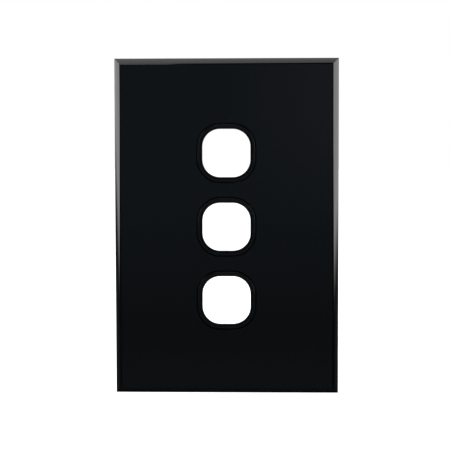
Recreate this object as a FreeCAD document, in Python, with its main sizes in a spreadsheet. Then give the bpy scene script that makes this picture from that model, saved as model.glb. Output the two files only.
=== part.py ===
# Three-gang wall plate: a clip-on cover plate over a grid plate with two captive fixing screws.
# Millimetres. +Z is up, +X is right as seen from the room, and the front faces -Y.
# The origin is on the wall plane, at the centre of the plate. Every "depth" is a distance
# in front of the wall plane, so depth d is the plane y = -d.
import FreeCAD, Part
import math
import os

import Sketcher
from FreeCAD import Rotation, Vector

OUTPUT_FOLDER = "parts"
ORIGIN_POINT = (-1, 1)
UPRIGHT_AXIS = -2
LEVEL_AXIS = -1
TOLERANCE = 1e-4
LOWEST_GANG = "-dim.gang_pitch * (dim.gang_count - 1) / 2"

DIMENSIONS = [
    # Cover plate
    ("plate_width", 76.0, "cover plate, side to side"),
    ("plate_height", 114.0, "cover plate, bottom to top"),
    ("plate_depth", 8.5, "depth of the front face"),
    ("rim_clearance", 0.3, "depth of the cover's rear rim, which stays just off the wall"),
    ("bevel_width", 2.0, "width of the bevel round the front, seen from the front"),
    ("bevel_drop", 1.65, "how far the bevel falls back from the front face"),
    ("bevel_radius", 5.95, "radius of the slightly crowned bevel"),
    ("face_edge", 0.6, "rounding between the front face and the bevel"),
    ("shoulder_edge", 0.2, "rounding between the bevel and the sides"),
    ("skin_thickness", 2.2, "thickness of the cover's front"),
    ("side_thickness", 1.6, "thickness of the cover's side walls"),
    ("cavity_corner", 1.5, "inside corner radius of the cover"),
    ("cover_opening", 20.2, "opening in the cover, flat to flat"),
    ("cover_opening_corner", 7.95, "corner radius of that opening"),
    ("opening_edge", 0.12, "rounding of the opening's front edge"),
    ("stiffener_width", 45.0, "stiffening rib inside the cover, side to side"),
    ("stiffener_height", 100.5, "the same rib, bottom to top"),
    ("stiffener_corner", 4.0, "corner radius of the stiffening rib"),
    ("stiffener_thickness", 1.0, "thickness of the stiffening rib"),
    ("stiffener_rise", 0.8, "how far the stiffening rib stands off the inner face"),
    ("notch_width", 6.0, "release notch for a flat screwdriver, in the bottom rim"),
    ("notch_depth", 1.8, "depth of the release notch's front edge"),
    ("ejector_radius", 2.0, "radius of the moulding's ejector marks"),
    ("ejector_sink", 0.15, "how deep the ejector marks are"),
    ("ejector_across", 28.0, "ejector marks, from the centre line"),
    ("ejector_up", 36.0, "spacing of the ejector marks, bottom to top"),
    # Gangs
    ("gang_count", 3, "number of openings"),
    ("gang_pitch", 25.0, "spacing of the openings"),
    # Grid plate
    ("grid_width", 71.2, "grid plate, side to side"),
    ("grid_height", 109.2, "grid plate, bottom to top"),
    ("grid_corner", 2.0, "outside corner radius of the grid plate"),
    ("grid_depth", 4.4, "depth of the grid plate's rim"),
    ("grid_rim", 1.8, "thickness of the grid plate's rim"),
    ("grid_inner_corner", 0.8, "inside corner radius of the rim"),
    ("web_back", 1.4, "depth of the web's back face"),
    ("web_front", 3.0, "depth of the web's front face"),
    ("box_width", 25.8, "mechanism box, side to side"),
    ("box_height", 75.8, "mechanism box, bottom to top"),
    ("box_depth", 6.0, "depth of the mechanism box's front"),
    ("box_corner", 1.5, "outside corner radius of the mechanism box"),
    ("seat_size", 22.6, "pocket that a mechanism sits in, flat to flat"),
    ("seat_corner", 2.0, "corner radius of that pocket"),
    ("seat_depth", 4.2, "depth of the pocket's floor"),
    ("collar_size", 19.3, "collar round a grid opening, flat to flat"),
    ("collar_corner", 7.5, "corner radius of the collar"),
    ("collar_depth", 8.8, "depth of the collar's front, just proud of the cover's face"),
    ("collar_edge", 0.06, "rounding of the collar's outer front edge"),
    ("lip_slope_width", 0.8, "width of the slope that dishes the collar's front towards its opening"),
    ("lip_slope_drop", 0.2, "how far that slope falls back"),
    ("throat_size", 17.5, "hollow inside the collar, behind its lip, flat to flat"),
    ("throat_corner", 6.6, "corner radius of that hollow"),
    ("throat_depth", 7.4, "depth where the collar's lip starts"),
    ("grid_opening", 16.3, "opening in the grid plate, flat to flat"),
    ("grid_opening_corner", 6.0, "corner radius of that opening"),
    ("window_reach", 15.4, "outer end of a clip window, from the centre line"),
    ("window_height", 8.0, "height of a clip window"),
    ("rib_thickness", 1.0, "thickness of the grid plate's ribs"),
    ("end_rib_across", 9.0, "ribs beside a fixing screw, from the centre line"),
    # Catches between the cover and the grid plate
    ("catch_up", 30.0, "catches, above and below the centre"),
    ("catch_reach", 0.5, "how far a catch stands out from its wall"),
    ("ledge_length", 10.0, "length of a cover catch"),
    ("ledge_back", 0.4, "depth where a cover catch starts"),
    ("ledge_lead", 0.8, "depth where its lead-in ends"),
    ("ledge_crest", 1.5, "depth where its release slope starts"),
    ("ledge_front", 1.8, "depth where a cover catch ends"),
    ("nose_length", 8.0, "length of a grid catch"),
    ("nose_back", 1.45, "depth where a grid catch starts"),
    ("nose_crest", 1.75, "depth where its release slope ends"),
    ("nose_lead", 2.4, "depth where its lead-in starts"),
    ("nose_front", 2.9, "depth where a grid catch ends"),
    # Fixing screws and their retaining washers
    ("fixing_centres", 84.0, "distance between the two fixing screws"),
    ("slot_length", 6.0, "fixing slot, end to end"),
    ("slot_width", 4.0, "fixing slot, side to side"),
    ("cup_length", 11.0, "inside of the cup round a fixing slot, end to end"),
    ("cup_width", 8.0, "inside of that cup, side to side"),
    ("cup_wall", 1.0, "thickness of the cup's wall"),
    ("bearing_gap", 0.05, "clearance under the screw's head"),
    ("head_radius", 3.4, "radius of the screw's pan head"),
    ("head_flat_radius", 2.3, "radius of the flat top of the head"),
    ("head_height", 2.3, "height of the head"),
    ("head_side", 0.95, "height of the head's straight side"),
    ("head_crown", 1.6, "radius of the head's rounded shoulder"),
    ("neck_radius", 1.45, "radius of the relieved neck"),
    ("thread_radius", 1.75, "outside radius of the M3.5 thread"),
    ("thread_taper", 0.3, "length of the step from the neck to the thread"),
    ("thread_start", 0.9, "thread's first full section, behind the wall plane"),
    ("thread_end", 20.8, "thread's last full section, behind the wall plane"),
    ("tip_radius", 1.2, "radius of the screw's tip"),
    ("tip_end", 22.0, "the screw's tip, behind the wall plane"),
    ("driver_slot", 0.9, "width of the driver slot and of the cross recess"),
    ("driver_slot_sink", 0.9, "how deep the driver slot is"),
    ("cross_span", 3.6, "span of the cross recess"),
    ("cross_sink", 1.5, "how deep the cross recess is"),
    ("cross_taper", -8.0, "slope of the cross recess's walls, in degrees"),
    ("washer_radius", 3.75, "outside radius of a retaining washer"),
    ("washer_bore", 1.5, "bore radius of a retaining washer"),
    ("washer_front", 1.2, "depth of the washer's front face"),
    ("washer_back", 0.4, "depth of the washer's back face"),
    ("washer_edge", 0.15, "chamfer round the washer"),
    # Working allowance
    ("overcut", 1.0, "how far a cut runs past the material it clears"),
    ("overlap", 0.3, "how far an added detail reaches into the wall it joins"),
]


# ---------- spreadsheet, bodies and sketches ----------

def make_sheet(document):
    """Put the driving dimensions in a spreadsheet called dim, one alias for each."""
    sheet = document.addObject("Spreadsheet::Sheet", "dim")
    for row, (alias, number, meaning) in enumerate(DIMENSIONS, start=1):
        sheet.set(f"A{row}", meaning)
        sheet.set(f"B{row}", str(number))
        sheet.setAlias(f"B{row}", alias)
    document.recompute()


def value(expression):
    """The number that an expression over the spreadsheet gives."""
    return float(FreeCAD.ActiveDocument.getObject("dim").evalExpression(expression))


def origin_feature(body, role):
    """One of the body's own origin planes or axes."""
    return next(feature for feature in body.Origin.OriginFeatures if feature.Role == role)


def make_body(label):
    """An empty sub-part."""
    body = FreeCAD.ActiveDocument.addObject("PartDesign::Body", label)
    body.Label = label
    return body


def make_sketch(body, name, plane, offset="0"):
    """A sketch on one of the body's origin planes, moved along that plane's normal."""
    sketch = body.newObject("Sketcher::SketchObject", name)
    sketch.AttachmentSupport = [(origin_feature(body, plane), "")]
    sketch.MapMode = "FlatFace"
    sketch.setExpression("AttachmentOffset.Base.z", offset)
    return sketch


def front_sketch(body, name, depth="0"):
    """A sketch parallel to the wall at a depth, with X across and Z up."""
    return make_sketch(body, name, "XZ_Plane", depth)


def drive(sketch, kind, where, expression):
    """Add one driving constraint and bind it to an expression."""
    index = sketch.addConstraint(Sketcher.Constraint(kind, *where, value(expression)))
    sketch.renameConstraint(index, f"size_{index}")
    sketch.setExpression(f"Constraints.size_{index}", expression)


def place_point(sketch, point, across, up):
    """Fix a sketch point at two expressions measured from the sketch's origin."""
    for kind, axis, expression in (("DistanceX", UPRIGHT_AXIS, across), ("DistanceY", LEVEL_AXIS, up)):
        if expression == "0":
            sketch.addConstraint(Sketcher.Constraint("PointOnObject", *point, axis))
        else:
            drive(sketch, kind, ORIGIN_POINT + point, expression)


def arc_between(start, end, radius):
    """The shorter anticlockwise arc from one point to another."""
    chord = end - start
    rise = math.sqrt(radius ** 2 - (chord.Length / 2) ** 2)
    leftward = Vector(-chord.y, chord.x, 0).normalize()
    centre = (start + end) / 2 + leftward * rise
    first = math.atan2(start.y - centre.y, start.x - centre.x)
    last = math.atan2(end.y - centre.y, end.x - centre.x)
    if last < first:
        last += 2 * math.pi
    return Part.ArcOfCircle(Part.Circle(centre, Vector(0, 0, 1), radius), first, last)


def draw_outline(sketch, corners, arcs=None):
    """Draw a closed outline through corners, which are pairs of expressions.

    arcs maps the number of a corner to the radius of the anticlockwise arc that leaves it.
    """
    arcs = arcs or {}
    points = [Vector(value(across), value(up), 0) for across, up in corners]
    first = len(sketch.Geometry)
    count = len(corners)
    for number, start in enumerate(points):
        end = points[(number + 1) % count]
        if number in arcs:
            sketch.addGeometry(arc_between(start, end, value(arcs[number])))
        else:
            sketch.addGeometry(Part.LineSegment(start, end))
    for number, (across, up) in enumerate(corners):
        edge = first + number
        following = first + (number + 1) % count
        sketch.addConstraint(Sketcher.Constraint("Coincident", edge, 2, following, 1))
        place_point(sketch, (edge, 1), across, up)
        if number in arcs:
            drive(sketch, "Radius", (edge,), arcs[number])


def draw_rectangle(sketch, left, right, bottom, top):
    """Draw a rectangle between four expressions."""
    draw_outline(sketch, [(left, bottom), (right, bottom), (right, top), (left, top)])


def draw_rounded(sketch, width, height, corner, up="0"):
    """Draw a rectangle with round corners, centred across and at a height."""
    side = f"({width}) / 2"
    inner_side = f"(({width}) / 2 - ({corner}))"
    rise = f"({height}) / 2"
    inner_rise = f"(({height}) / 2 - ({corner}))"
    corners = [
        (f"-{inner_side}", f"{up} - {rise}"),
        (inner_side, f"{up} - {rise}"),
        (side, f"{up} - {inner_rise}"),
        (side, f"{up} + {inner_rise}"),
        (inner_side, f"{up} + {rise}"),
        (f"-{inner_side}", f"{up} + {rise}"),
        (f"-{side}", f"{up} + {inner_rise}"),
        (f"-{side}", f"{up} - {inner_rise}"),
    ]
    draw_outline(sketch, corners, {number: corner for number in (1, 3, 5, 7)})


def draw_slot(sketch, length, width, up):
    """Draw a level slot with round ends, centred across and at a height."""
    straight = f"(({length}) - ({width})) / 2"
    bottom = f"{up} - ({width}) / 2"
    middle = up
    top = f"{up} + ({width}) / 2"
    right_end = f"({length}) / 2"
    corners = [
        (f"-{straight}", bottom),
        (straight, bottom),
        (right_end, middle),
        (straight, top),
        (f"-{straight}", top),
        (f"-{right_end}", middle),
    ]
    draw_outline(sketch, corners, {number: f"({width}) / 2" for number in (1, 2, 4, 5)})


def draw_circle(sketch, radius, across="0", up="0"):
    """Draw a circle round a point given by two expressions."""
    centre = Vector(value(across), value(up), 0)
    circle = sketch.addGeometry(Part.Circle(centre, Vector(0, 0, 1), value(radius)))
    place_point(sketch, (circle, 3), across, up)
    drive(sketch, "Radius", (circle,), radius)


# ---------- features ----------

def expect_change(body, feature, before, grows):
    """Stop if a feature left the body as it was or changed it the wrong way."""
    FreeCAD.ActiveDocument.recompute()
    change = body.Shape.Volume - before
    if (change > 0) != grows or abs(change) < TOLERANCE:
        raise RuntimeError(f"{body.Label}: {feature.Name} changed the volume by {change:.4f} mm3")


def volume_so_far(body):
    """The body's volume, or nothing while it has no features."""
    FreeCAD.ActiveDocument.recompute()
    return 0.0 if body.Shape.isNull() else body.Shape.Volume


def pad(body, name, sketch, length, both_ways=False):
    """Add material along the sketch's normal, or half each way."""
    before = volume_so_far(body)
    feature = body.newObject("PartDesign::Pad", name)
    feature.Profile = sketch
    feature.SideType = "Symmetric" if both_ways else "One side"
    feature.setExpression("Length", length)
    expect_change(body, feature, before, grows=True)
    return feature


def pocket(body, name, sketch, length, both_ways=False):
    """Cut against the sketch's normal (towards the wall for a front sketch), or half each way."""
    before = volume_so_far(body)
    feature = body.newObject("PartDesign::Pocket", name)
    feature.Profile = sketch
    feature.SideType = "Symmetric" if both_ways else "One side"
    feature.setExpression("Length", length)
    expect_change(body, feature, before, grows=False)
    return feature


def repeat_upwards(body, feature, spacing, count, grows):
    """Repeat a feature up the body."""
    before = volume_so_far(body)
    pattern = body.newObject("PartDesign::LinearPattern", f"{feature.Name}_row")
    pattern.Originals = [feature]
    pattern.Direction = (origin_feature(body, "Z_Axis"), [""])
    pattern.setExpression("Length", f"{spacing} * ({count} - 1)")
    pattern.setExpression("Occurrences", count)
    body.Tip = pattern
    expect_change(body, pattern, before, grows)


def mirror(body, feature, plane, grows):
    """Mirror a feature about one of the body's origin planes."""
    before = volume_so_far(body)
    mirrored = body.newObject("PartDesign::Mirrored", f"{feature.Name}_mirrored")
    mirrored.Originals = [feature]
    mirrored.MirrorPlane = (origin_feature(body, plane), [""])
    body.Tip = mirrored
    expect_change(body, mirrored, before, grows)


def edges_at(shape, depth, reach):
    """Names of the edges that lie in the plane at a depth, within a reach of the centre line."""
    names = []
    for number, edge in enumerate(shape.Edges, start=1):
        box = edge.BoundBox
        flat = max(abs(box.YMin + depth), abs(box.YMax + depth)) < TOLERANCE
        if flat and max(abs(box.XMin), abs(box.XMax)) < reach + TOLERANCE:
            names.append(f"Edge{number}")
    return names


def round_edges(body, name, depth, reach, radius):
    """Round the front edges at a depth."""
    before = volume_so_far(body)
    base = body.Tip
    fillet = body.newObject("PartDesign::Fillet", name)
    fillet.Base = (base, edges_at(base.Shape, value(depth), value(reach)))
    fillet.setExpression("Radius", radius)
    expect_change(body, fillet, before, grows=False)


# ---------- cover plate ----------

def make_cover_plate():
    """The gloss moulding that shows: a shallow tray with a bevelled front and three openings."""
    body = make_body("cover_plate")
    cut_bevelled_block(body)
    hollow_cover(body)
    add_stiffener(body)
    add_cover_catches(body)
    cut_release_notch(body)
    cut_ejector_marks(body)
    cut_cover_openings(body)


def cut_bevelled_block(body):
    """The outside: a block with a crowned bevel on all four sides, mitred at the corners.

    The edges on each side of the bevel are rounded.
    """
    edge = "dim.plate_width / 2"
    flat = "(dim.plate_width / 2 - dim.bevel_width)"
    shoulder = "-(dim.plate_depth - dim.bevel_drop)"
    face = "-dim.plate_depth"
    rear = "-dim.rim_clearance"
    section = make_sketch(body, "block_section", "XY_Plane")
    corners = [
        (edge, rear),
        (f"-{edge}", rear),
        (f"-{edge}", shoulder),
        (f"-{flat}", face),
        (flat, face),
        (edge, shoulder),
    ]
    draw_outline(section, corners, {2: "dim.bevel_radius", 4: "dim.bevel_radius"})
    pad(body, "block", section, "dim.plate_height", both_ways=True)

    top = "dim.plate_height / 2"
    flat_top = "(dim.plate_height / 2 - dim.bevel_width)"
    beyond_face = "-(dim.plate_depth + dim.overcut)"
    beyond_top = "(dim.plate_height / 2 + dim.overcut)"
    waste = make_sketch(body, "end_bevel_waste", "YZ_Plane")
    upper_waste = [
        (shoulder, top),
        (face, flat_top),
        (beyond_face, flat_top),
        (beyond_face, beyond_top),
        (shoulder, beyond_top),
    ]
    lower_waste = [
        (face, f"-{flat_top}"),
        (shoulder, f"-{top}"),
        (shoulder, f"-{beyond_top}"),
        (beyond_face, f"-{beyond_top}"),
        (beyond_face, f"-{flat_top}"),
    ]
    for corners in (upper_waste, lower_waste):
        draw_outline(waste, corners, {0: "dim.bevel_radius"})
    pocket(body, "end_bevels", waste, "dim.plate_width + 2 * dim.overcut", both_ways=True)
    shoulder_depth = "dim.plate_depth - dim.bevel_drop"
    round_edges(body, "shoulder_edges", shoulder_depth, "dim.plate_width / 2", "dim.shoulder_edge")
    round_edges(body, "face_edges", "dim.plate_depth", "dim.plate_width / 2", "dim.face_edge")


def hollow_cover(body):
    """The inside of the tray, open towards the wall."""
    inner_face = "dim.plate_depth - dim.skin_thickness"
    width = "dim.plate_width - 2 * dim.side_thickness"
    height = "dim.plate_height - 2 * dim.side_thickness"
    inside = front_sketch(body, "cavity_outline", inner_face)
    draw_rounded(inside, width, height, "dim.cavity_corner")
    pocket(body, "cavity", inside, inner_face)


def add_stiffener(body):
    """A low closed rib on the inner face, which keeps the gloss front flat."""
    crest = "dim.plate_depth - dim.skin_thickness - dim.stiffener_rise"
    ring = front_sketch(body, "stiffener_outline", crest)
    draw_rounded(ring, "dim.stiffener_width", "dim.stiffener_height", "dim.stiffener_corner")
    wall = "2 * dim.stiffener_thickness"
    inner_corner = "dim.stiffener_corner - dim.stiffener_thickness"
    draw_rounded(ring, f"dim.stiffener_width - {wall}", f"dim.stiffener_height - {wall}", inner_corner)
    pad(body, "stiffener", ring, "dim.stiffener_rise + dim.overlap")


def add_cover_catches(body):
    """Four ledges inside the long walls that snap behind the grid plate's catches."""
    wall = "(dim.plate_width / 2 - dim.side_thickness)"
    crest = "(dim.plate_width / 2 - dim.side_thickness - dim.catch_reach)"
    root = "(dim.plate_width / 2 - dim.side_thickness + dim.overlap)"
    section = make_sketch(body, "ledge_section", "XY_Plane", "dim.catch_up")
    draw_catch(section, root, wall, crest, ("ledge_back", "ledge_lead", "ledge_crest", "ledge_front"))
    ledges = pad(body, "ledges", section, "dim.ledge_length", both_ways=True)
    mirror(body, ledges, "XY_Plane", grows=True)


def draw_catch(sketch, root, wall, crest, depths):
    """Draw a catch's section on the right and on the left: wall, slope, crest, slope, wall."""
    start, crest_start, crest_end, end = (f"-dim.{alias}" for alias in depths)
    for side in ("", "-"):
        corners = [
            (side + root, start),
            (side + wall, start),
            (side + crest, crest_start),
            (side + crest, crest_end),
            (side + wall, end),
            (side + root, end),
        ]
        draw_outline(sketch, corners)


def cut_release_notch(body):
    """A notch in the bottom rim, where a screwdriver levers the cover off."""
    notch = front_sketch(body, "notch_outline", "dim.notch_depth")
    bottom = "-(dim.plate_height / 2 + dim.overcut)"
    top = "-(dim.plate_height / 2 - dim.side_thickness - dim.overlap)"
    draw_rectangle(notch, "-dim.notch_width / 2", "dim.notch_width / 2", bottom, top)
    pocket(body, "release_notch", notch, "dim.notch_depth")


def cut_ejector_marks(body):
    """Six faint round marks that the mould's ejector pins leave on the inner face."""
    sunk_face = "dim.plate_depth - dim.skin_thickness + dim.ejector_sink"
    marks = front_sketch(body, "ejector_outline", sunk_face)
    for side in ("-", ""):
        for up in ("-dim.ejector_up", "0", "dim.ejector_up"):
            draw_circle(marks, "dim.ejector_radius", f"{side}dim.ejector_across", up)
    pocket(body, "ejector_marks", marks, "dim.ejector_sink + dim.stiffener_rise")


def cut_cover_openings(body):
    """Three round-cornered openings whose front edges are just broken."""
    size = "dim.cover_opening"
    opening = front_sketch(body, "cover_opening_outline", "dim.plate_depth + dim.overcut")
    draw_rounded(opening, size, size, "dim.cover_opening_corner", LOWEST_GANG)
    lowest = pocket(body, "cover_openings", opening, "dim.plate_depth + dim.overcut")
    repeat_upwards(body, lowest, "dim.gang_pitch", "dim.gang_count", grows=False)
    round_edges(body, "opening_edges", "dim.plate_depth", "dim.cover_opening / 2", "dim.opening_edge")


# ---------- grid plate ----------

def make_grid_plate():
    """The satin moulding screwed to the wall: a rimmed web with a box of mechanism pockets."""
    body = make_body("grid_plate")
    make_web(body)
    add_mechanism_box(body)
    add_ribs(body)
    cut_fixing_slots(body)
    cut_mechanism_seats(body)
    add_grid_catches(body)


def make_web(body):
    """A tray on both sides of a thin web, with a rim that stands on the wall."""
    outside = front_sketch(body, "rim_outline")
    draw_rounded(outside, "dim.grid_width", "dim.grid_height", "dim.grid_corner")
    pad(body, "rim", outside, "dim.grid_depth")
    width = "dim.grid_width - 2 * dim.grid_rim"
    height = "dim.grid_height - 2 * dim.grid_rim"
    front = front_sketch(body, "front_tray_outline", "dim.grid_depth")
    draw_rounded(front, width, height, "dim.grid_inner_corner")
    pocket(body, "front_tray", front, "dim.grid_depth - dim.web_front")
    back = front_sketch(body, "back_tray_outline", "dim.web_back")
    draw_rounded(back, width, height, "dim.grid_inner_corner")
    pocket(body, "back_tray", back, "dim.web_back")


def add_mechanism_box(body):
    """The block in the middle that the mechanisms are held in."""
    box = front_sketch(body, "box_outline")
    draw_rounded(box, "dim.box_width", "dim.box_height", "dim.box_corner")
    pad(body, "mechanism_box", box, "dim.box_depth")


def add_ribs(body):
    """Ribs on the web's front: across from the box's partitions, and upright beside the screws."""
    inner = "(dim.box_width / 2 - dim.overlap)"
    outer = "(dim.grid_width / 2 - dim.grid_rim + dim.overlap)"
    height = "dim.grid_depth - dim.web_front"
    cross = front_sketch(body, "cross_rib_outline", "dim.web_front")
    bottom = "-dim.gang_pitch * dim.gang_count / 2 - dim.rib_thickness / 2"
    top = "-dim.gang_pitch * dim.gang_count / 2 + dim.rib_thickness / 2"
    draw_rectangle(cross, inner, outer, bottom, top)
    draw_rectangle(cross, f"-{outer}", f"-{inner}", bottom, top)
    cross_ribs = pad(body, "cross_ribs", cross, height)
    repeat_upwards(body, cross_ribs, "dim.gang_pitch", "dim.gang_count + 1", grows=True)

    near = "(dim.end_rib_across - dim.rib_thickness / 2)"
    far = "(dim.end_rib_across + dim.rib_thickness / 2)"
    low = "(dim.box_height / 2 - dim.overlap)"
    high = "(dim.grid_height / 2 - dim.grid_rim + dim.overlap)"
    upright = front_sketch(body, "end_rib_outline", "dim.web_front")
    for left, right in ((near, far), (f"-{far}", f"-{near}")):
        draw_rectangle(upright, left, right, low, high)
        draw_rectangle(upright, left, right, f"-{high}", f"-{low}")
    pad(body, "end_ribs", upright, height)


def cut_fixing_slots(body):
    """Level slots for the two fixing screws, each in a cup behind the web for its washer."""
    fixing_heights = ("dim.fixing_centres / 2", "-dim.fixing_centres / 2")
    wall = "2 * dim.cup_wall"
    cups = front_sketch(body, "cup_outline")
    hollows = front_sketch(body, "cup_hollow_outline", "dim.web_back")
    slots = front_sketch(body, "slot_outline", "dim.web_front + dim.overcut")
    for up in fixing_heights:
        draw_slot(cups, f"dim.cup_length + {wall}", f"dim.cup_width + {wall}", up)
        draw_slot(hollows, "dim.cup_length", "dim.cup_width", up)
        draw_slot(slots, "dim.slot_length", "dim.slot_width", up)
    pad(body, "washer_cups", cups, "dim.web_back + dim.overlap")
    pocket(body, "washer_cup_hollows", hollows, "dim.web_back")
    pocket(body, "fixing_slots", slots, "dim.web_front + dim.overcut")


def cut_mechanism_seats(body):
    """For each gang: a seat open to the wall, a hollow dished collar, an opening and clip windows."""
    seat = front_sketch(body, "seat_outline", "dim.seat_depth")
    draw_rounded(seat, "dim.seat_size", "dim.seat_size", "dim.seat_corner", LOWEST_GANG)
    seats = pocket(body, "seats", seat, "dim.seat_depth")
    repeat_upwards(body, seats, "dim.gang_pitch", "dim.gang_count", grows=False)

    collar = front_sketch(body, "collar_outline", "dim.box_depth - dim.overlap")
    draw_rounded(collar, "dim.collar_size", "dim.collar_size", "dim.collar_corner", LOWEST_GANG)
    collars = pad(body, "collars", collar, "dim.collar_depth - dim.box_depth + dim.overlap")
    repeat_upwards(body, collars, "dim.gang_pitch", "dim.gang_count", grows=True)
    round_edges(body, "collar_edges", "dim.collar_depth", "dim.collar_size / 2", "dim.collar_edge")

    throat = front_sketch(body, "throat_outline", "dim.throat_depth")
    draw_rounded(throat, "dim.throat_size", "dim.throat_size", "dim.throat_corner", LOWEST_GANG)
    throats = pocket(body, "throats", throat, "dim.throat_depth - dim.seat_depth")
    repeat_upwards(body, throats, "dim.gang_pitch", "dim.gang_count", grows=False)

    rim = "dim.grid_opening + 2 * dim.lip_slope_width"
    slope = front_sketch(body, "lip_slope_outline", "dim.collar_depth")
    draw_rounded(slope, rim, rim, "dim.grid_opening_corner + dim.lip_slope_width", LOWEST_GANG)
    slopes = pocket(body, "lip_slopes", slope, "dim.lip_slope_drop")
    slopes.setExpression("TaperAngle", "-atan(dim.lip_slope_width / dim.lip_slope_drop)")
    repeat_upwards(body, slopes, "dim.gang_pitch", "dim.gang_count", grows=False)

    size = "dim.grid_opening"
    opening = front_sketch(body, "grid_opening_outline", "dim.collar_depth + dim.overcut")
    draw_rounded(opening, size, size, "dim.grid_opening_corner", LOWEST_GANG)
    openings = pocket(body, "grid_openings", opening, "dim.collar_depth + dim.overcut")
    repeat_upwards(body, openings, "dim.gang_pitch", "dim.gang_count", grows=False)

    near = "(dim.seat_size / 2 - dim.overlap)"
    far = "dim.window_reach"
    bottom = f"{LOWEST_GANG} - dim.window_height / 2"
    top = f"{LOWEST_GANG} + dim.window_height / 2"
    window = front_sketch(body, "window_outline", "dim.web_front")
    draw_rectangle(window, near, far, bottom, top)
    draw_rectangle(window, f"-{far}", f"-{near}", bottom, top)
    windows = pocket(body, "clip_windows", window, "dim.web_front - dim.web_back")
    repeat_upwards(body, windows, "dim.gang_pitch", "dim.gang_count", grows=False)


def add_grid_catches(body):
    """Four noses on the rim that the cover's ledges snap behind."""
    wall = "(dim.grid_width / 2)"
    crest = "(dim.grid_width / 2 + dim.catch_reach)"
    root = "(dim.grid_width / 2 - dim.overlap)"
    section = make_sketch(body, "nose_section", "XY_Plane", "dim.catch_up")
    draw_catch(section, root, wall, crest, ("nose_back", "nose_crest", "nose_lead", "nose_front"))
    noses = pad(body, "noses", section, "dim.nose_length", both_ways=True)
    mirror(body, noses, "XY_Plane", grows=True)


# ---------- fixing screws and washers ----------

def place_at_fixing(body, side):
    """Put a sub-part on the upper (+1) or lower (-1) fixing screw's axis."""
    body.Placement = FreeCAD.Placement(Vector(0, 0, side * value("dim.fixing_centres / 2")), Rotation())
    body.setExpression("Placement.Base.z", f"{side} * dim.fixing_centres / 2")


def make_mounting_screw(label, side):
    """An M3.5 pan-head screw turned about Y, with a relieved neck and a combination recess."""
    body = make_body(label)
    bearing = "-(dim.web_front + dim.bearing_gap)"
    shoulder = "-(dim.web_front + dim.bearing_gap + dim.head_side)"
    head_top = "(dim.web_front + dim.bearing_gap + dim.head_height)"
    neck_end = "dim.thread_start - dim.thread_taper"
    profile = make_sketch(body, "screw_profile", "XY_Plane")
    corners = [
        ("0", f"-{head_top}"),
        ("dim.head_flat_radius", f"-{head_top}"),
        ("dim.head_radius", shoulder),
        ("dim.head_radius", bearing),
        ("dim.neck_radius", bearing),
        ("dim.neck_radius", neck_end),
        ("dim.thread_radius", "dim.thread_start"),
        ("dim.thread_radius", "dim.thread_end"),
        ("dim.tip_radius", "dim.tip_end"),
        ("0", "dim.tip_end"),
    ]
    draw_outline(profile, corners, {1: "dim.head_crown"})
    before = volume_so_far(body)
    turned = body.newObject("PartDesign::Revolution", "turned_screw")
    turned.Profile = profile
    turned.ReferenceAxis = (origin_feature(body, "Y_Axis"), [""])
    expect_change(body, turned, before, grows=True)

    slot = front_sketch(body, "driver_slot_outline", head_top)
    half = "dim.driver_slot / 2"
    beyond_head = "(dim.head_radius + dim.overcut)"
    draw_rectangle(slot, f"-{beyond_head}", beyond_head, f"-{half}", half)
    pocket(body, "driver_slot", slot, "dim.driver_slot_sink")

    cross = front_sketch(body, "cross_outline", head_top)
    draw_outline(cross, cross_corners("dim.cross_span / 2", half))
    recess = pocket(body, "cross_recess", cross, "dim.cross_sink")
    recess.setExpression("TaperAngle", "dim.cross_taper")
    place_at_fixing(body, side)


def cross_corners(reach, half):
    """The corners of a plus sign, anticlockwise, from its arms' reach and half width."""
    quarter = [(reach, f"-{half}"), (reach, half), (half, half)]
    corners = []
    for turn in range(4):
        for across, up in quarter:
            corners.append(turned_by_quarters(across, up, turn))
    return corners


def turned_by_quarters(across, up, turn):
    """A pair of expressions turned anticlockwise about the origin by quarter turns."""
    for _ in range(turn):
        across, up = f"-({up})", across
    return across, up


def make_retaining_washer(label, side):
    """A nylon washer on the screw's neck, behind the web, which keeps the screw captive."""
    body = make_body(label)
    ring = front_sketch(body, "washer_outline", "dim.washer_back")
    draw_circle(ring, "dim.washer_radius")
    draw_circle(ring, "dim.washer_bore")
    washer = pad(body, "washer", ring, "dim.washer_front - dim.washer_back")
    chamfer = body.newObject("PartDesign::Chamfer", "washer_chamfer")
    rims = edges_at(washer.Shape, value("dim.washer_front"), value("dim.washer_radius"))
    rims += edges_at(washer.Shape, value("dim.washer_back"), value("dim.washer_radius"))
    chamfer.Base = (washer, rims)
    chamfer.setExpression("Size", "dim.washer_edge")
    place_at_fixing(body, side)


# ---------- document ----------

def check_and_export(document):
    """Stop on any failed object; otherwise write each sub-part's shape to its own file."""
    document.recompute()
    for item in document.Objects:
        if {"Invalid", "Error"} & set(item.State):
            raise RuntimeError(f"{item.Label} failed: {item.State}")
    bodies = [item for item in document.Objects if item.TypeId == "PartDesign::Body"]
    for body in bodies:
        shape = body.Shape
        if shape.isNull() or not shape.isValid() or len(shape.Solids) != 1:
            raise RuntimeError(f"{body.Label} is not one valid solid")
        print(f"{body.Label}: {shape.Volume:.1f} mm3, box {shape.BoundBox}")
    os.makedirs(OUTPUT_FOLDER, exist_ok=True)
    for body in bodies:
        body.Shape.exportStep(f"{OUTPUT_FOLDER}/{body.Label}.step")


def main():
    """Build the wall plate's six sub-parts and write them out."""
    document = FreeCAD.newDocument("wall_plate")
    make_sheet(document)
    make_cover_plate()
    make_grid_plate()
    for position, side in (("upper", 1), ("lower", -1)):
        make_mounting_screw(f"mounting_screw_{position}", side)
        make_retaining_washer(f"retaining_washer_{position}", side)
    check_and_export(document)


main()
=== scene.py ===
import math

import bmesh
import bpy
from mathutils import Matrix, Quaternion, Vector


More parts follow.
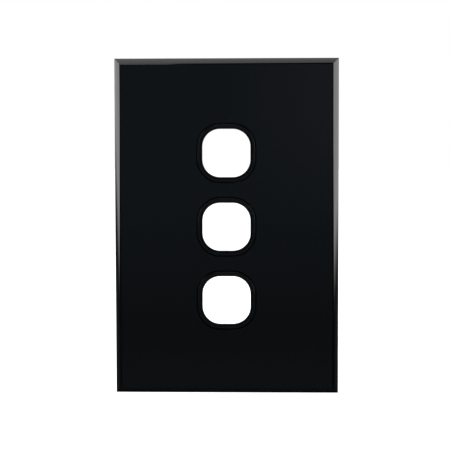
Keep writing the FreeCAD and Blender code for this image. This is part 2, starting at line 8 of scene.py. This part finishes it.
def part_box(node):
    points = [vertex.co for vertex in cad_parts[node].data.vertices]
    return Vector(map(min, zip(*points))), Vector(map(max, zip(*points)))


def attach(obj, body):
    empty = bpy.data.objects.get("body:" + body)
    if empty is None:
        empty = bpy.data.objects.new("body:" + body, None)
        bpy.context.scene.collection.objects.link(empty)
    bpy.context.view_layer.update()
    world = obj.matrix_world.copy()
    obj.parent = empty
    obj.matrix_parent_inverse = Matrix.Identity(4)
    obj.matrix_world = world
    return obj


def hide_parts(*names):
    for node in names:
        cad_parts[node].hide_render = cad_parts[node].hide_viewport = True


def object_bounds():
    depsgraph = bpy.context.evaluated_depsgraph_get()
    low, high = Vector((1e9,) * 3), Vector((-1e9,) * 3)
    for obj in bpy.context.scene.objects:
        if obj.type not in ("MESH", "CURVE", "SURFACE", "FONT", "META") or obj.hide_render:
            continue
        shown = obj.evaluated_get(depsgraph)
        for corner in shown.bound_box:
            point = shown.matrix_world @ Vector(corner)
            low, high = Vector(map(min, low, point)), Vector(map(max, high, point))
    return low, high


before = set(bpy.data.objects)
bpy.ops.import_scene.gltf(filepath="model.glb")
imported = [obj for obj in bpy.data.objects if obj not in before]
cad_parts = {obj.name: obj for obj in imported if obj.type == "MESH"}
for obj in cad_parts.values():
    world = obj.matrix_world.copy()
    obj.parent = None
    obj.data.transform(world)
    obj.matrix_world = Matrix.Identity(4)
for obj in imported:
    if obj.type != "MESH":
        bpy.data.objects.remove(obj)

cad_low, cad_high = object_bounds()
MM = 0.001


# ---------- nodes ----------

class Graph:
    """A node tree whose nodes are added by kind and joined by socket."""

    def __init__(self, tree):
        self.nodes = tree.nodes
        self.links = tree.links

    def add(self, kind, **values):
        """Add a node; values set its properties, or its inputs where the name is an input's."""
        node = self.nodes.new(kind)
        for name, value in values.items():
            if hasattr(node, name):
                setattr(node, name, value)
            else:
                node.inputs[name.replace("_", " ")].default_value = value
        return node

    def join(self, source, node, socket):
        """Link an output to a node's input, or set the input to a number or colour."""
        if isinstance(source, bpy.types.NodeSocket):
            self.links.new(source, node.inputs[socket])
        else:
            node.inputs[socket].default_value = source

    def split(self, vector):
        """The three outputs of a vector output."""
        node = self.add("ShaderNodeSeparateXYZ")
        self.join(vector, node, "Vector")
        return node.outputs["X"], node.outputs["Y"], node.outputs["Z"]

    def spread(self, value, low, high, to_low=0.0, to_high=1.0, shape="LINEAR"):
        """A value's stretch from low to high, spread over to_low to to_high and clamped."""
        node = self.add("ShaderNodeMapRange", interpolation_type=shape)
        limits = {"From Min": low, "From Max": high, "To Min": to_low, "To Max": to_high}
        for socket, number in limits.items():
            self.join(number, node, socket)
        self.join(value, node, "Value")
        return node.outputs["Result"]

    def maths(self, operation, first, second):
        """Arithmetic on two outputs or numbers."""
        node = self.add("ShaderNodeMath", operation=operation)
        self.join(first, node, 0)
        self.join(second, node, 1)
        return node.outputs["Value"]

    def product(self, first, *others):
        """Outputs or numbers multiplied together."""
        result = first
        for other in others:
            result = self.maths("MULTIPLY", result, other)
        return result

    def mix(self, factor, first, second):
        """A colour that goes from first to second, each a colour or an output."""
        node = self.add("ShaderNodeMix", data_type="RGBA")
        self.join(factor, node, 0)
        for socket, colour in ((6, first), (7, second)):
            is_output = isinstance(colour, bpy.types.NodeSocket)
            self.join(colour if is_output else (*colour, 1), node, socket)
        return node.outputs[2]


class Surface(Graph):
    """A principled material with textures sized in metres."""

    def __init__(self, name):
        self.material = bpy.data.materials.new(name)
        self.material.use_nodes = True
        super().__init__(self.material.node_tree)
        self.shader = self.nodes["Principled BSDF"]
        self.place = self.add("ShaderNodeTexCoord").outputs["Object"]

    def noise(self, size, detail, stretch=(1, 1, 1)):
        """Noise from 0 to 1 whose features are about size / stretch metres across."""
        mapping = self.add("ShaderNodeMapping", Scale=stretch)
        self.join(self.place, mapping, "Vector")
        texture = self.add("ShaderNodeTexNoise", Scale=1 / size, Detail=detail)
        self.join(mapping.outputs["Vector"], texture, "Vector")
        return texture.outputs["Fac"]

    def bump(self, height, distance, after=None):
        """The normal for a height output times a distance, on top of an earlier bump."""
        node = self.add("ShaderNodeBump", Distance=distance)
        self.join(height, node, "Height")
        if after is not None:
            self.join(after, node, "Normal")
        return node.outputs["Normal"]

    def give(self, source, socket):
        """Set one of the shader's own inputs to an output, a number or a colour."""
        self.join(source, self.shader, socket)


# ---------- materials ----------
# Colours are linear red, green and blue. A pair of colours or roughnesses is the two ends of a
# slow mottling. MIDDLE and UPPER_MIDDLE are where most of a noise's values are, and SCRATCHED and
# DUSTY are in its upper tail.

GLOSS_BLACK = (0.0010, 0.0012, 0.0014)
DUST = (0.008, 0.009, 0.010)
SATIN_BLACKS = (0.0010, 0.0011, 0.0012), (0.0018, 0.0019, 0.0020)
ZINC_GREYS = (0.50, 0.51, 0.53), (0.66, 0.66, 0.64)
NYLON_CREAMS = (0.66, 0.62, 0.52), (0.76, 0.73, 0.64)
FLOOR_WHITES = (0.90, 0.90, 0.90), (0.93, 0.93, 0.93)
PLASTIC_IOR = 1.5
MIDDLE = (0.3, 0.7)
UPPER_MIDDLE = (0.35, 0.7)
SCRATCHED = (0.66, 0.72)
DUSTY = (0.74, 0.80)
GLOSS_ROUGHNESS = (0.035, 0.075)
HAIRLINE_ROUGHNESS = 0.05
SATIN_ROUGHNESS = (0.15, 0.22)
DULL_ROUGHNESS = 0.17
ZINC_ROUGHNESS = (0.20, 0.38)
NYLON_ROUGHNESS = (0.35, 0.5)
NYLON_TRANSLUCENCY = 0.2
NYLON_DEPTH = 0.5 * MM
PAPER_ROUGHNESS = 0.9
PAPER_MOTTLE = 0.4
LIP_DEPTH = 1.4 * MM
LIP_BLEND = 0.3 * MM
ALONG_Z = (1, 1, 0.03)
ROUND_Y = (1, 6, 1)


def gloss_black():
    """High-gloss black moulding: slow waviness, faint polish haze and hairlines, a little fine dust."""
    surface = Surface("gloss_black")
    waviness = surface.bump(surface.noise(14 * MM, detail=1.0), 0.010 * MM)
    peel = surface.bump(surface.noise(0.9 * MM, detail=2.0), 0.0004 * MM, after=waviness)
    surface.give(peel, "Normal")
    haze = surface.spread(surface.noise(9 * MM, detail=4.0), *UPPER_MIDDLE, *GLOSS_ROUGHNESS)
    scratch = surface.noise(0.5 * MM, detail=2.0, stretch=ALONG_Z)
    hairline = surface.spread(scratch, *SCRATCHED, 0.0, HAIRLINE_ROUGHNESS)
    surface.give(surface.maths("ADD", haze, hairline), "Roughness")
    speck = surface.spread(surface.noise(0.22 * MM, detail=1.0), *DUSTY)
    surface.give(surface.mix(speck, GLOSS_BLACK, DUST), "Base Color")
    surface.give(PLASTIC_IOR, "IOR")
    return surface.material


def satin_black():
    """Black moulding with a fine grain and slight sink marks, duller behind the collars' lips."""
    surface = Surface("satin_black")
    grain = surface.bump(surface.noise(0.16 * MM, detail=2.0), 0.0015 * MM)
    sink = surface.bump(surface.noise(11 * MM, detail=2.0), 0.02 * MM, after=grain)
    surface.give(sink, "Normal")
    lip_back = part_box("grid_plate")[0].y + LIP_DEPTH
    _, depth, _ = surface.split(surface.place)
    dull = surface.spread(depth, lip_back, lip_back + LIP_BLEND, 0.0, DULL_ROUGHNESS)
    satin = surface.spread(surface.noise(5 * MM, detail=4.0), *MIDDLE, *SATIN_ROUGHNESS)
    surface.give(surface.maths("ADD", satin, dull), "Roughness")
    surface.give(surface.mix(surface.noise(7 * MM, detail=3.0), *SATIN_BLACKS), "Base Color")
    return surface.material


def zinc_steel():
    """Bright zinc plating with a faint passivation bloom and turning marks."""
    surface = Surface("zinc_steel")
    surface.give(1.0, "Metallic")
    bloom = surface.noise(1.6 * MM, detail=4.0)
    surface.give(surface.mix(bloom, *ZINC_GREYS), "Base Color")
    surface.give(surface.spread(bloom, *MIDDLE, *ZINC_ROUGHNESS), "Roughness")
    marks = surface.noise(0.12 * MM, detail=2.0, stretch=ROUND_Y)
    surface.give(surface.bump(marks, 0.003 * MM), "Normal")
    return surface.material


def natural_nylon():
    """Milky, slightly translucent nylon with fine moulding grain."""
    surface = Surface("natural_nylon")
    surface.give(surface.mix(surface.noise(2 * MM, detail=3.0), *NYLON_CREAMS), "Base Color")
    flow = surface.noise(0.8 * MM, detail=3.0)
    surface.give(surface.spread(flow, *MIDDLE, *NYLON_ROUGHNESS), "Roughness")
    surface.give(surface.bump(surface.noise(0.1 * MM, detail=2.0), 0.004 * MM), "Normal")
    surface.give(NYLON_TRANSLUCENCY, "Subsurface Weight")
    surface.give(NYLON_DEPTH, "Subsurface Scale")
    return surface.material


def pale_floor():
    """Matt white paper that glows, so that it matches the white backdrop."""
    surface = Surface("pale_floor")
    surface.give(surface.mix(surface.noise(PAPER_MOTTLE, detail=2.0), *FLOOR_WHITES), "Base Color")
    surface.give(PAPER_ROUGHNESS, "Roughness")
    surface.give((1, 1, 1, 1), "Emission Color")
    surface.give(1.0, "Emission Strength")
    return surface.material


def dress(node, material):
    """Give a CAD node its material."""
    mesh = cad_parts[node].data
    mesh.materials.clear()
    mesh.materials.append(material)


# ---------- screws ----------

THREAD_PITCH = 0.6 * MM
THREAD_CREST = 1.74 * MM
THREAD_ROOT = 1.38 * MM
THREAD_RUNOUT = 0.9 * MM
STEPS_PER_TURN = 12
CREST_FLAT = 1 / 8
ROOT_FLAT = 1 / 4
NECK_END = 0.5 * MM
TIP_RADIUS = 1.2 * MM
TIP_LENGTH = 1.2 * MM
WELD_DISTANCE = 0.001 * MM
SHARP_ANGLE = math.radians(35)


def thread_radius(behind_wall, angle, tip, neck_radius):
    """The screw's radius at a distance behind the wall plane, round at an angle."""
    turn = (behind_wall / THREAD_PITCH - angle / (2 * math.pi)) % 1
    from_crest = abs(turn - 0.5) * 2
    flank = (1 - CREST_FLAT - from_crest) / (1 - CREST_FLAT - ROOT_FLAT)
    rolled = THREAD_ROOT + (THREAD_CREST - THREAD_ROOT) * min(max(flank, 0), 1)
    started = min((behind_wall - NECK_END) / THREAD_RUNOUT, 1)
    cone = TIP_RADIUS + (THREAD_CREST - TIP_RADIUS) * (tip - behind_wall) / TIP_LENGTH
    return min(neck_radius + (rolled - neck_radius) * started, cone)


def angle_round(axis, vertex):
    """A vertex's angle round the screw's axis."""
    return math.atan2(vertex.co.z - axis.z, vertex.co.x - axis.x)


def cut_shank(shape, axis):
    """Cut the CAD screw off behind its neck; the cut's vertices, in order round the axis."""
    everything = shape.verts[:] + shape.edges[:] + shape.faces[:]
    cut = bmesh.ops.bisect_plane(
        shape, geom=everything, plane_co=(0, NECK_END, 0), plane_no=(0, 1, 0), clear_outer=True)
    ring = [item for item in cut["geom_cut"] if isinstance(item, bmesh.types.BMVert)]
    ring.sort(key=lambda vertex: angle_round(axis, vertex))
    return ring


def add_thread(shape, ring, axis, tip):
    """Carry a ring of vertices on to the screw's tip as a rolled thread, and close it there."""
    angles = [angle_round(axis, vertex) for vertex in ring]
    neck_radius = math.hypot(ring[0].co.x - axis.x, ring[0].co.z - axis.z)
    steps = round((tip - NECK_END) / THREAD_PITCH * STEPS_PER_TURN)
    for step in range(1, steps + 1):
        behind_wall = NECK_END + (tip - NECK_END) * step / steps
        following = []
        for angle in angles:
            radius = thread_radius(behind_wall, angle, tip, neck_radius)
            across = axis.x + radius * math.cos(angle)
            up = axis.z + radius * math.sin(angle)
            following.append(shape.verts.new((across, behind_wall, up)))
        for number in range(len(ring)):
            before = number - 1
            shape.faces.new((ring[before], ring[number], following[number], following[before]))
        ring = following
    shape.faces.new(ring)


def make_screw(position, material):
    """A fixing screw with the CAD screw's head and a rolled thread, which the CAD screw has plain."""
    node = f"mounting_screw_{position}"
    low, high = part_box(node)
    axis = (low + high) / 2
    shape = bmesh.new()
    shape.from_mesh(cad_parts[node].data)
    bmesh.ops.remove_doubles(shape, verts=shape.verts, dist=WELD_DISTANCE)
    ring = cut_shank(shape, axis)
    add_thread(shape, ring, axis, high.y)
    bmesh.ops.recalc_face_normals(shape, faces=shape.faces)
    mesh = bpy.data.meshes.new(f"threaded_screw_{position}")
    shape.to_mesh(mesh)
    shape.free()
    mesh.attributes.remove(mesh.attributes["custom_normal"])
    mesh.shade_smooth()
    mesh.set_sharp_from_angle(angle=SHARP_ANGLE)
    mesh.materials.clear()
    mesh.materials.append(material)
    screw = bpy.data.objects.new(mesh.name, mesh)
    bpy.context.scene.collection.objects.link(screw)
    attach(screw, f"{position}_screw")
    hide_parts(node)


# ---------- floor and lamps ----------

FLOOR_HALF = 3.0
SIDE_CENTRE = Vector((0, -0.11, 0.13))
SIDE_REACH = Vector((0.62, 0, 0))
SIDE_RADIANCE = 4.4
LEFT_SIZE = (0.80, 0.80)
LEFT_ENDS = (0.8, 1.1)
LEFT_MASKS = ((0.31, 1, 0.373, 0.485), (-1, 0.633, -0.415, -0.375))
RIGHT_SIZE = (0.70, 0.80)
RIGHT_ENDS = (1.1, 0.8)
RIGHT_MASKS = ((-0.114, 1, 0.16, 0.25), (1, 0.64, 0.455, 0.495))
TOP_PLACE = Vector((0, -0.06, 0.75))
TOP_AIM = Vector((0, -0.06, 0))
TOP_SIZE = (0.50, 0.50)
TOP_RADIANCE = 0.88
TOP_ENDS = (2.05, 1.0)
SMALL_PLACE = Vector((-0.095, -0.43, 0.40))
SMALL_AIM = Vector((0, 0, 0))
SMALL_SIZE = (0.08, 0.06)
SMALL_RADIANCE = 12.0


def make_floor():
    """A plain pale floor at the plate's lower edge, left out of reflections."""
    mesh = bpy.data.meshes.new("floor")
    corners = ((-1, -1), (1, -1), (1, 1), (-1, 1))
    points = [(x * FLOOR_HALF, y * FLOOR_HALF, cad_low.z) for x, y in corners]
    mesh.from_pydata(points, [], [(0, 1, 2, 3)])
    mesh.materials.append(pale_floor())
    floor = bpy.data.objects.new("floor", mesh)
    bpy.context.scene.collection.objects.link(floor)
    floor.visible_glossy = False


def make_softbox(name, place, aim, size, radiance, ends=(1.0, 1.0), masks=()):
    """A rectangular softbox facing a point.

    Its radiance is multiplied by ends, from its own left end to its right one. Each mask is
    (across, up, dark, lit): with u and v going from 0 to 1 across and up the softbox, the light
    is off where across * u + up * v is below dark and fully on above lit.
    """
    light = bpy.data.lights.new(name, "AREA")
    light.shape = "RECTANGLE"
    light.size, light.size_y = size
    light.energy = radiance * math.pi * size[0] * size[1]
    light.use_nodes = True
    graph = Graph(light.node_tree)
    u, v, _ = graph.split(graph.add("ShaderNodeNewGeometry").outputs["Parametric"])
    level = graph.spread(u, 0, 1, *ends)
    for across, up, dark, lit in masks:
        position = graph.maths("ADD", graph.product(u, across), graph.product(v, up))
        level = graph.product(level, graph.spread(position, dark, lit, shape="SMOOTHSTEP"))
    graph.join(level, graph.nodes["Emission"], "Strength")
    lamp = bpy.data.objects.new(name, light)
    lamp.location = place
    lamp.rotation_mode = "QUATERNION"
    lamp.rotation_quaternion = (aim - place).to_track_quat("-Z", "Y")
    lamp.visible_camera = False
    bpy.context.scene.collection.objects.link(lamp)


def make_lamps():
    """A softbox on each side with slanting, fading edges, a weak one overhead and a small lamp."""
    make_softbox("left_softbox", SIDE_CENTRE - SIDE_REACH, SIDE_CENTRE, LEFT_SIZE, SIDE_RADIANCE,
                 LEFT_ENDS, LEFT_MASKS)
    make_softbox("right_softbox", SIDE_CENTRE + SIDE_REACH, SIDE_CENTRE, RIGHT_SIZE, SIDE_RADIANCE,
                 RIGHT_ENDS, RIGHT_MASKS)
    make_softbox("top_softbox", TOP_PLACE, TOP_AIM, TOP_SIZE, TOP_RADIANCE, TOP_ENDS)
    make_softbox("small_lamp", SMALL_PLACE, SMALL_AIM, SMALL_SIZE, SMALL_RADIANCE)


# ---------- room ----------
# The world is a room seen only in reflections. A place in it is a direction from the plate:
# x to the right, y away from the camera and z up, each from -1 to 1. Each pair of numbers is
# where a change along one of them starts and ends.

ROOM_BEHIND = (0.75, 0.77, 0.80)
ROOM_AROUND = (0.012, 0.014, 0.016)
ROOM_BESIDE = (0.15, 0.16, 0.17)
ROOM_FOOT = (0.090, 0.100, 0.110)
AHEAD_BOTTOM = (0.085, 0.095, 0.105)
AHEAD_LOW = (0.066, 0.072, 0.084)
AHEAD_LEVEL = (0.106, 0.141, 0.171)
AHEAD_GLOW = (0.191, 0.206, 0.261)
BOTTOM_END_Z = (-0.165, -0.145)
LOW_END_Z = (-0.13, -0.05)
GLOW_X = (-0.04, 0.045)
GLOW_Z = (-0.065, 0.01)
AHEAD_END_X = (0.16, 0.30)
AHEAD_TOP_Z = (0.08, 0.20)
AHEAD_FOOT_Z = (-0.30, -0.19)
AHEAD_END_Y = (-0.2, -0.1)
BESIDE_Y = (-0.35, 0.15)
BESIDE_Z = (-0.4, -0.2)
FOOT_Y = (-0.55, 0.1)
FOOT_Z = (-0.5, -0.25)
BEHIND_Y = (0.35, 0.75)


def colour_ahead(graph, x, z):
    """What the flat face mirrors: dimmest near the bottom, and brightest up and to the right."""
    low = graph.mix(graph.spread(z, *BOTTOM_END_Z), AHEAD_BOTTOM, AHEAD_LOW)
    level = graph.mix(graph.spread(z, *LOW_END_Z), low, AHEAD_LEVEL)
    glow = graph.product(graph.spread(x, *GLOW_X), graph.spread(z, *GLOW_Z))
    return graph.mix(glow, level, AHEAD_GLOW)


def part_ahead(graph, x, y, z):
    """1 in the part of the room that the flat face mirrors, fading to 0 outside it."""
    sideways = graph.spread(graph.maths("ABSOLUTE", x, 0), *AHEAD_END_X, 1, 0, "SMOOTHSTEP")
    above = graph.spread(z, *AHEAD_TOP_Z, 1, 0, "SMOOTHSTEP")
    below = graph.spread(z, *AHEAD_FOOT_Z, 0, 1, "SMOOTHSTEP")
    facing = graph.spread(y, *AHEAD_END_Y, 1, 0)
    return graph.product(sideways, above, below, facing)


def colour_around(graph, y, z):
    """What the bevels and edges mirror: dark, but lighter beside the plate and at its foot."""
    beside = graph.product(graph.spread(y, *BESIDE_Y), graph.spread(z, *BESIDE_Z))
    around = graph.mix(beside, ROOM_AROUND, ROOM_BESIDE)
    foot = graph.product(graph.spread(y, *FOOT_Y, 1, 0), graph.spread(z, *FOOT_Z, 1, 0))
    return graph.mix(foot, around, ROOM_FOOT)


def make_world():
    """White to the camera; to the plate, a room that is dim in front and light behind."""
    world = bpy.data.worlds.new("studio")
    bpy.context.scene.world = world
    world.use_nodes = True
    graph = Graph(world.node_tree)
    x, y, z = graph.split(graph.add("ShaderNodeTexCoord").outputs["Generated"])
    front = graph.mix(part_ahead(graph, x, y, z), colour_around(graph, y, z), colour_ahead(graph, x, z))
    room = graph.mix(graph.spread(y, *BEHIND_Y, shape="SMOOTHSTEP"), front, ROOM_BEHIND)
    lit = graph.add("ShaderNodeBackground")
    graph.join(room, lit, "Color")
    backdrop = graph.nodes["Background"]
    graph.join((1, 1, 1, 1), backdrop, "Color")
    choice = graph.add("ShaderNodeMixShader")
    graph.join(graph.add("ShaderNodeLightPath").outputs["Is Camera Ray"], choice, 0)
    graph.join(lit.outputs["Background"], choice, 1)
    graph.join(backdrop.outputs["Background"], choice, 2)
    graph.join(choice.outputs["Shader"], graph.nodes["World Output"], "Surface")


# ---------- camera ----------

CAMERA_AZIMUTH = math.radians(1.93)
CAMERA_ELEVATION = math.radians(3.68)
CAMERA_ROLL = math.radians(-0.124)
CAMERA_DISTANCE = 0.5
CAMERA_LENS = 115.9
CAMERA_AIM = Vector((-0.55 * MM, -7.1 * MM, 0.53 * MM))


def make_camera():
    """A long lens almost square on, from slightly above and to the right."""
    camera = bpy.data.cameras.new("camera")
    camera.lens = CAMERA_LENS
    viewer = bpy.data.objects.new("camera", camera)
    reach = CAMERA_DISTANCE * math.cos(CAMERA_ELEVATION)
    height = CAMERA_DISTANCE * math.sin(CAMERA_ELEVATION)
    viewer.location = (reach * math.sin(CAMERA_AZIMUTH), -reach * math.cos(CAMERA_AZIMUTH), height)
    viewer.rotation_mode = "QUATERNION"
    facing = (CAMERA_AIM - viewer.location).to_track_quat("-Z", "Y")
    viewer.rotation_quaternion = facing @ Quaternion((0, 0, 1), CAMERA_ROLL)
    bpy.context.scene.collection.objects.link(viewer)
    bpy.context.scene.camera = viewer


# ---------- scene ----------

dress("cover_plate", gloss_black())
dress("grid_plate", satin_black())
steel = zinc_steel()
nylon = natural_nylon()
for position in ("upper", "lower"):
    make_screw(position, steel)
    dress(f"retaining_washer_{position}", nylon)

make_floor()
make_world()
make_lamps()
make_camera()
bpy.context.scene.view_settings.view_transform = "Standard"
